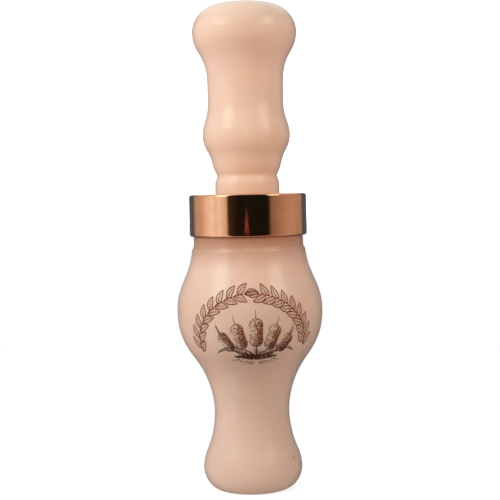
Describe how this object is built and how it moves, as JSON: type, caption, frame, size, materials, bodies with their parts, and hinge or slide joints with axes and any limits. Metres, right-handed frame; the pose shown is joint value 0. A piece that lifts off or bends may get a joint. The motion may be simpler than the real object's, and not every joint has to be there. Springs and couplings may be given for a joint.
{
  "type": "duck call",
  "caption": "Turned resin duck call: a barrel with a metal band, and a push-in insert that holds a tone board, reeds and a cork wedge.",
  "frame": {"origin": "centre of the mouth end's flat ring, which the call stands on", "axes": "+Z along the call's axis towards the exhaust end, -Y the side that the reeds face and the engraving is on, +X to the right of that side"},
  "size_m": [0.038, 0.038, 0.1261],
  "materials": {
    "barrel_resin": "polished cast resin, pinkish ivory",
    "stem_resin": "polished cast resin, pinkish ivory",
    "band_metal": "polished, rose gold colour",
    "tone_board_acetal": "machined black acetal",
    "reed_mylar": "frosted polyester film",
    "wedge_cork": "natural cork",
    "seal_rubber": "nitrile rubber",
    "engraving": "laser-burnt resin, brown"
  },
  "bodies": {
    "barrel": {"barrel": "barrel_resin", "band": "band_metal"},
    "o_rings": {"o_ring_lower": "seal_rubber", "o_ring_upper": "seal_rubber"},
    "insert": {"stem": "stem_resin", "tone_board": "tone_board_acetal", "wedge": "wedge_cork"},
    "lower_reed": {"lower_reed": "reed_mylar"},
    "upper_reed": {"upper_reed": "reed_mylar"}
  },
  "joints": [
    {"name": "insert_slide", "type": "slide", "parent": "barrel", "child": "o_rings", "axis": [0, 0, 1], "range_m": [0, 0.065]},
    {"name": "insert_turn", "type": "hinge", "parent": "o_rings", "child": "insert", "pos_m": [0, 0, 0.0765], "axis": [0, 0, 1], "continuous": true},
    {"name": "lower_reed_flex", "type": "hinge", "parent": "insert", "child": "lower_reed", "pos_m": [0, -0.0012, 0.045], "axis": [1, 0, 0], "range_deg": [-5, 2.2], "stiffness_Nm_per_rad": 0.0124, "deforming": ["lower_reed"]},
    {"name": "upper_reed_flex", "type": "hinge", "parent": "insert", "child": "upper_reed", "pos_m": [0, -0.00155, 0.045], "axis": [1, 0, 0], "range_deg": [-5, 2.2], "stiffness_Nm_per_rad": 0.0124, "deforming": ["upper_reed"]}
  ],
  "couplings": [
    {"joint": "upper_reed_flex", "follows": "lower_reed_flex", "ratio": 1}
  ]
}
